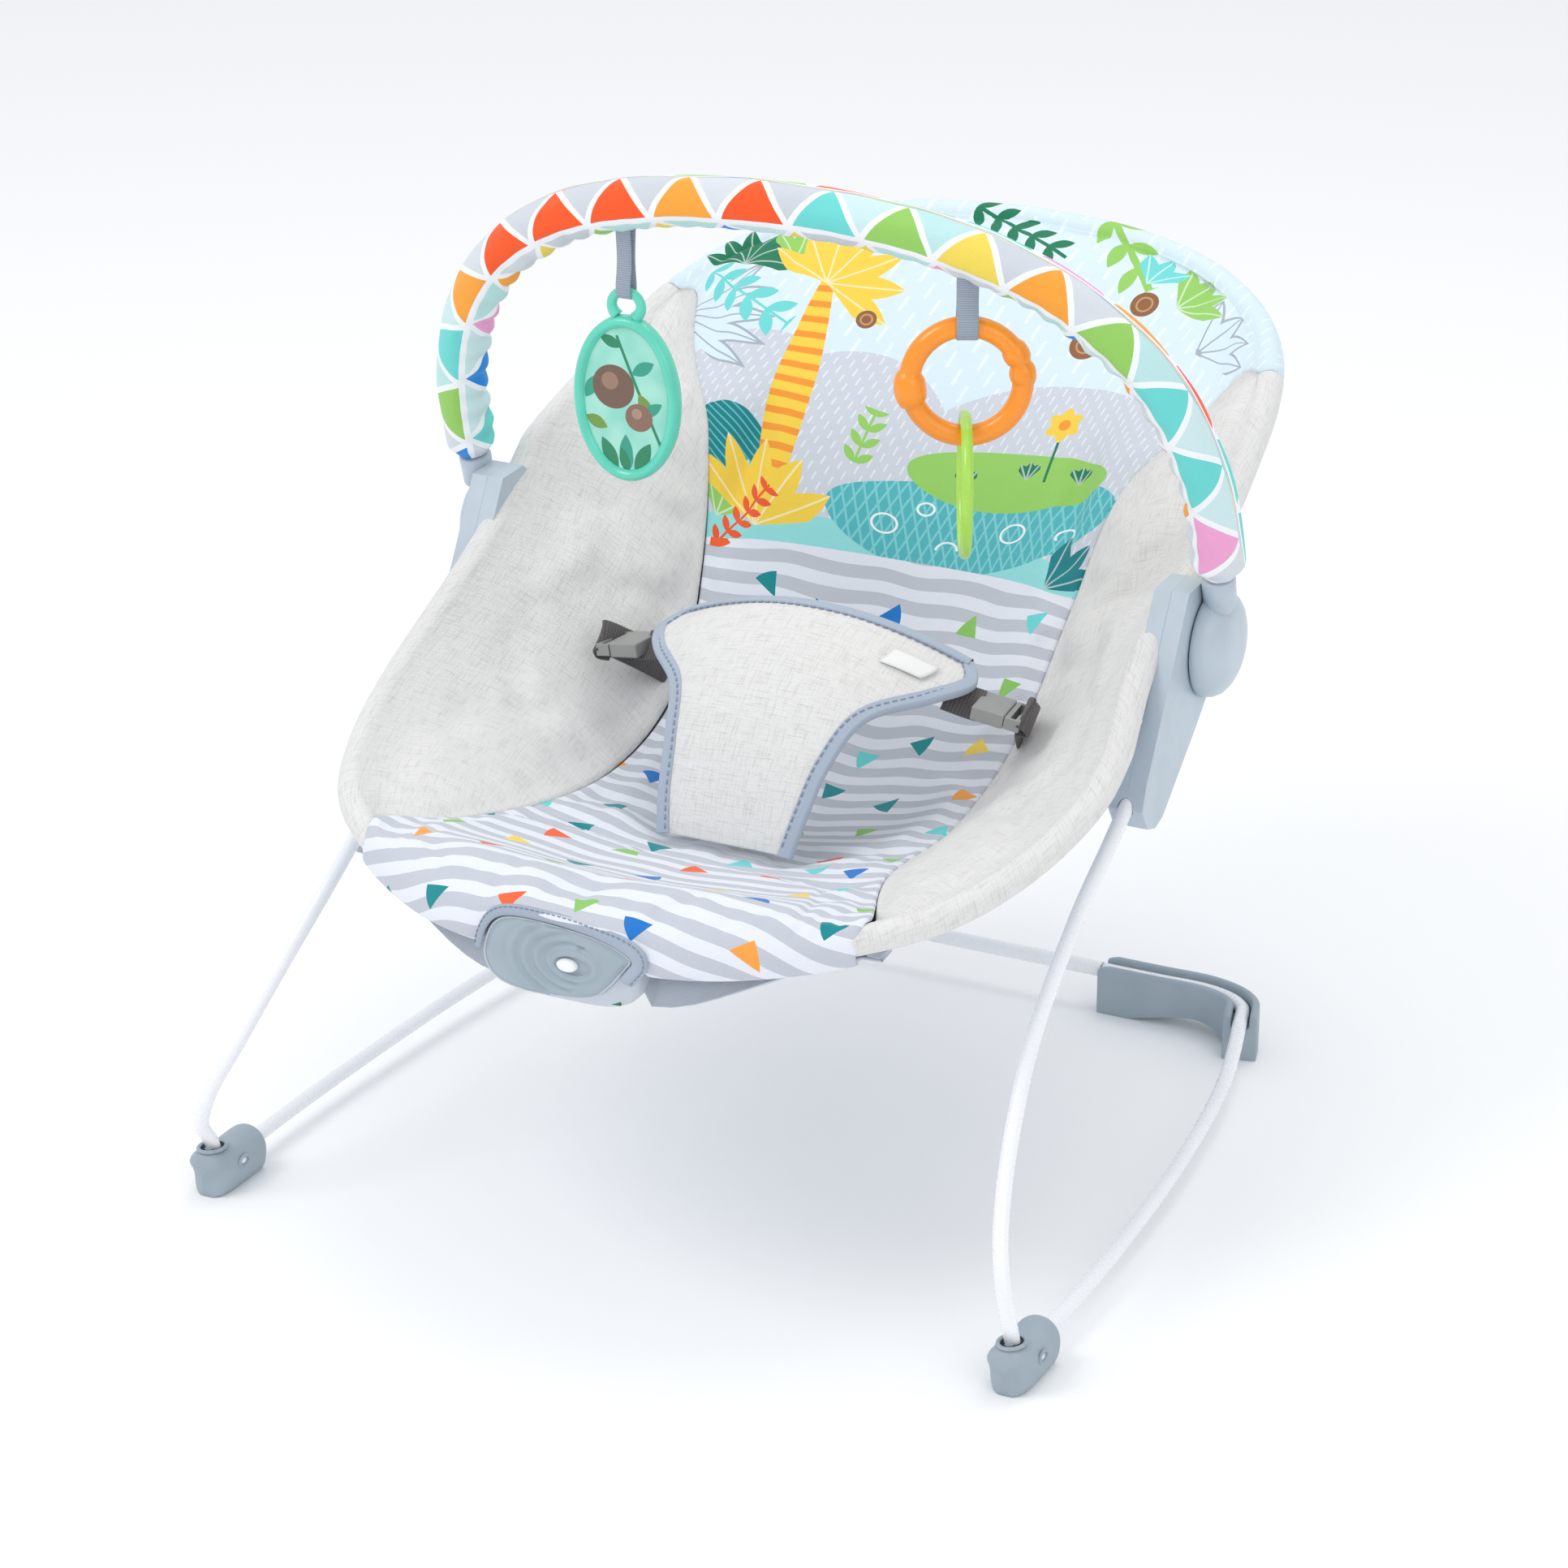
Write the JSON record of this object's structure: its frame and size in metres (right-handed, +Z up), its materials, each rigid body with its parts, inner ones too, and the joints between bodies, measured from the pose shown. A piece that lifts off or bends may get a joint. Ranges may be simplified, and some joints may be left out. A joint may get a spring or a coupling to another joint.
{
  "type": "baby bouncer seat",
  "caption": "Baby bouncer: sling seat on a sprung bent-wire base, with a pivoting padded toy bar, hanging toys, a crotch restraint and a vibration unit.",
  "frame": {"origin": "on the floor, under the middle of the overall box", "axes": "+Z up, the child faces -Y, +X is the right side seen from the front"},
  "size_m": [0.484, 0.559, 0.5214],
  "materials": {
    "wire_enamel": "white powder-coated steel wire",
    "foot_rubber": "soft moulded rubber, blue-grey",
    "housing_plastic": "semi-gloss moulded plastic, pale blue-grey",
    "unit_plastic": "satin moulded plastic, blue-grey",
    "screw_steel": "zinc-plated steel",
    "printed_fabric": "printed polyester with a fine weave",
    "striped_fabric": "printed polyester, wavy stripes and triangles",
    "weave_fabric": "off-white heathered woven polyester",
    "lining_fabric": "plain grey non-woven fabric",
    "sleeve_fabric": "white printed polyester, gathered",
    "webbing": "dark grey ribbed webbing",
    "ribbon": "grey grosgrain ribbon",
    "buckle_plastic": "grey acetal",
    "switch_plastic": "white moulded plastic",
    "bar_plastic": "extruded plastic tube",
    "mint_plastic": "glossy moulded plastic",
    "insert_print": "printed disc under a clear face",
    "orange_plastic": "glossy moulded plastic",
    "lime_plastic": "glossy moulded plastic",
    "board": "green circuit board",
    "battery_skin": "sleeved dry cell"
  },
  "bodies": {
    "base": {"left_runner_tube": "wire_enamel", "right_runner_tube": "wire_enamel", "rear_cross_tube": "wire_enamel", "left_front_foot": "foot_rubber", "right_front_foot": "foot_rubber", "left_rear_foot": "foot_rubber", "right_rear_foot": "foot_rubber"},
    "seat": {"left_leg_tube": "wire_enamel", "right_leg_tube": "wire_enamel", "seat_frame_upper_tube": "wire_enamel", "seat_frame_lower_tube": "wire_enamel", "left_hub_inner_shell": "housing_plastic", "right_hub_inner_shell": "housing_plastic", "left_hub_outer_shell": "housing_plastic", "right_hub_outer_shell": "housing_plastic", "hub_screws": "screw_steel", "back_panel": "printed_fabric", "left_wing": "weave_fabric", "right_wing": "weave_fabric", "front_panel": "striped_fabric", "seat_lining": "lining_fabric", "crotch_pad": "weave_fabric", "left_buckle_socket": "buckle_plastic", "right_buckle_socket": "buckle_plastic", "unit_front_shell": "unit_plastic", "unit_back_shell": "unit_plastic", "battery_door": "unit_plastic", "battery_cell": "battery_skin", "battery_contacts": "screw_steel", "vibration_motor": "screw_steel", "circuit_board": "board", "unit_screws": "screw_steel"},
    "toy_bar": {"toy_bar_tube": "bar_plastic", "toy_bar_sleeve": "sleeve_fabric", "left_bar_hub": "housing_plastic", "right_bar_hub": "housing_plastic"},
    "medallion": {"medallion_ribbon": "ribbon", "medallion_frame": "mint_plastic", "medallion_insert": "insert_print"},
    "ring": {"ring_ribbon": "ribbon", "teether_ring": "orange_plastic"},
    "link": {"link_ring": "lime_plastic"},
    "power_switch": {"power_switch": "switch_plastic"},
    "motor_rotor": {"eccentric_weight": "screw_steel"},
    "left_buckle": {"left_buckle_tongue": "buckle_plastic", "left_waist_webbing": "webbing"},
    "right_buckle": {"right_buckle_tongue": "buckle_plastic", "right_waist_webbing": "webbing"}
  },
  "joints": [
    {"name": "seat_bounce", "type": "hinge", "parent": "base", "child": "seat", "pos_m": [0, -0.2365, 0.013], "axis": [1, 0, 0], "range_deg": [-6, 3], "stiffness_Nm_per_rad": 200, "springref_deg": 1.38},
    {"name": "toy_bar_tilt", "type": "hinge", "parent": "seat", "child": "toy_bar", "pos_m": [0, 0.0365, 0.291], "axis": [1, 0, 0], "range_deg": [-30, 35]},
    {"name": "medallion_swing", "type": "hinge", "parent": "toy_bar", "child": "medallion", "pos_m": [-0.097, -0.02032, 0.48028], "axis": [1, 0, 0], "range_deg": [-45, 45]},
    {"name": "ring_swing", "type": "hinge", "parent": "toy_bar", "child": "ring", "pos_m": [0.097, -0.02032, 0.48028], "axis": [1, 0, 0], "range_deg": [-45, 45]},
    {"name": "link_swing", "type": "hinge", "parent": "ring", "child": "link", "pos_m": [0.097, -0.02032, 0.40178], "axis": [0.891, 0.454, 0], "range_deg": [-40, 40]},
    {"name": "power_switch_slide", "type": "slide", "parent": "seat", "child": "power_switch", "axis": [1, 0, 0], "range_m": [0, 0.005]},
    {"name": "motor_spin", "type": "hinge", "parent": "seat", "child": "motor_rotor", "pos_m": [0.02, -0.2565, 0.184], "axis": [1, 0, 0], "continuous": true},
    {"name": "left_buckle_release", "type": "slide", "parent": "seat", "child": "left_buckle", "axis": [-0.9769, 0.1184, -0.1776], "range_m": [0, 0.007]},
    {"name": "right_buckle_release", "type": "slide", "parent": "seat", "child": "right_buckle", "axis": [0.9769, 0.1184, -0.1776], "range_m": [0, 0.007]}
  ]
}
